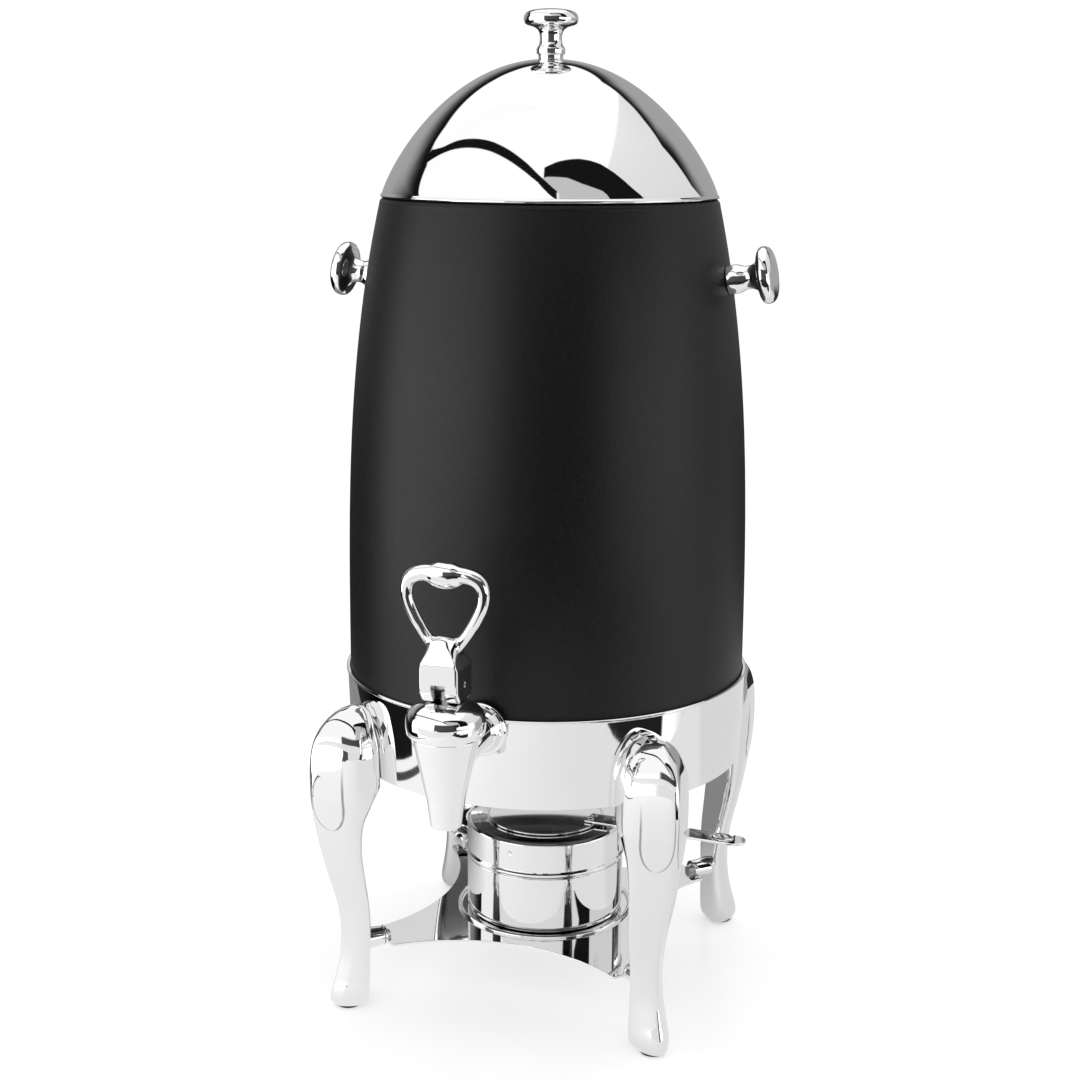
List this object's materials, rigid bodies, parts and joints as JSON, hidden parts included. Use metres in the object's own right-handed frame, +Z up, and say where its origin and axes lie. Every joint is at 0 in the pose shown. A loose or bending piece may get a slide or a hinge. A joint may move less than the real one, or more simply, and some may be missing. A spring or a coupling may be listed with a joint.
{
  "type": "coffee urn",
  "caption": "Fuel-heated coffee urn: tapered black shell under a polished lift-off dome, lever faucet with heart-shaped handle, round band on cabriole legs, shelf with a covered fuel cup.",
  "frame": {"origin": "on the urn's axis at the level of the feet's undersides, midway between the feet", "axes": "+Z up along the urn's axis, -Y towards the faucet (front), +X to the right as seen from the front"},
  "size_m": [0.3172, 0.3761, 0.6835],
  "materials": {
    "black_coating": "fine-grained satin black powder coat",
    "polished_steel": "mirror-polished stainless steel",
    "plated_casting": "polished casting, bright plated",
    "plain_steel": "plain stainless steel",
    "black_rubber": "matt",
    "silicone": "matt translucent silicone"
  },
  "bodies": {
    "urn_body": {"outer_shell": "black_coating", "inner_tank": "plain_steel", "tank_rim_gasket": "silicone", "support_ring": "plain_steel", "base_band": "polished_steel", "leg_front_left": "plated_casting", "leg_front_right": "plated_casting", "leg_rear_left": "plated_casting", "leg_rear_right": "plated_casting", "leg_screws": "plain_steel", "foot_pads": "black_rubber", "shelf_plate": "polished_steel", "shelf_locating_ring": "polished_steel", "shelf_screws": "plain_steel", "side_knob_left": "plated_casting", "side_knob_right": "plated_casting", "side_knob_studs": "plain_steel", "side_knob_washers": "plain_steel", "faucet_shank": "plain_steel", "faucet_flange": "plated_casting", "shank_spacer": "silicone", "shank_seal_washer": "silicone", "shank_nut": "plain_steel", "faucet_body": "plated_casting", "bonnet_cap": "plated_casting"},
    "valve": {"valve_stem": "plain_steel", "seat_cup": "silicone", "stem_spring": "plain_steel"},
    "tap_handle": {"handle_pin": "plain_steel", "faucet_handle": "plated_casting"},
    "lid": {"dome_cover": "polished_steel", "lid_skirt_ring": "plain_steel", "lid_knob": "plated_casting", "lid_knob_screw": "plain_steel", "lid_knob_washer": "plain_steel"},
    "fuel_holder": {"fuel_cup": "polished_steel"},
    "holder_cover": {"fuel_cover": "polished_steel", "damper_pivot": "plain_steel"},
    "damper": {"damper_disc": "polished_steel", "damper_handle": "polished_steel", "damper_rivets": "plain_steel"}
  },
  "joints": [
    {"name": "lid_lift", "type": "slide", "parent": "urn_body", "child": "lid", "axis": [0, 0, 1], "range_m": [0, 0.25]},
    {"name": "valve_lift", "type": "slide", "parent": "urn_body", "child": "valve", "axis": [0, 0, 1], "range_m": [0, 0.0048], "stiffness_N_per_m": 250, "springref_m": -0.004, "deforming": ["stem_spring"]},
    {"name": "handle_pull", "type": "hinge", "parent": "valve", "child": "tap_handle", "pos_m": [0, -0.208, 0.277], "axis": [1, 0, 0], "range_deg": [0, 35]},
    {"name": "fuel_holder_lift", "type": "slide", "parent": "urn_body", "child": "fuel_holder", "axis": [0, 0, 1], "range_m": [0, 0.025]},
    {"name": "fuel_cover_lift", "type": "slide", "parent": "fuel_holder", "child": "holder_cover", "axis": [0, 0, 1], "range_m": [0, 0.025]},
    {"name": "damper_swing", "type": "hinge", "parent": "holder_cover", "child": "damper", "pos_m": [0.04981, -0.00436, 0.117], "axis": [0, 0, 1], "range_deg": [-35, 40]}
  ],
  "couplings": [
    {"joint": "valve_lift", "follows": "handle_pull", "m_per_rad": 0.0078577}
  ]
}
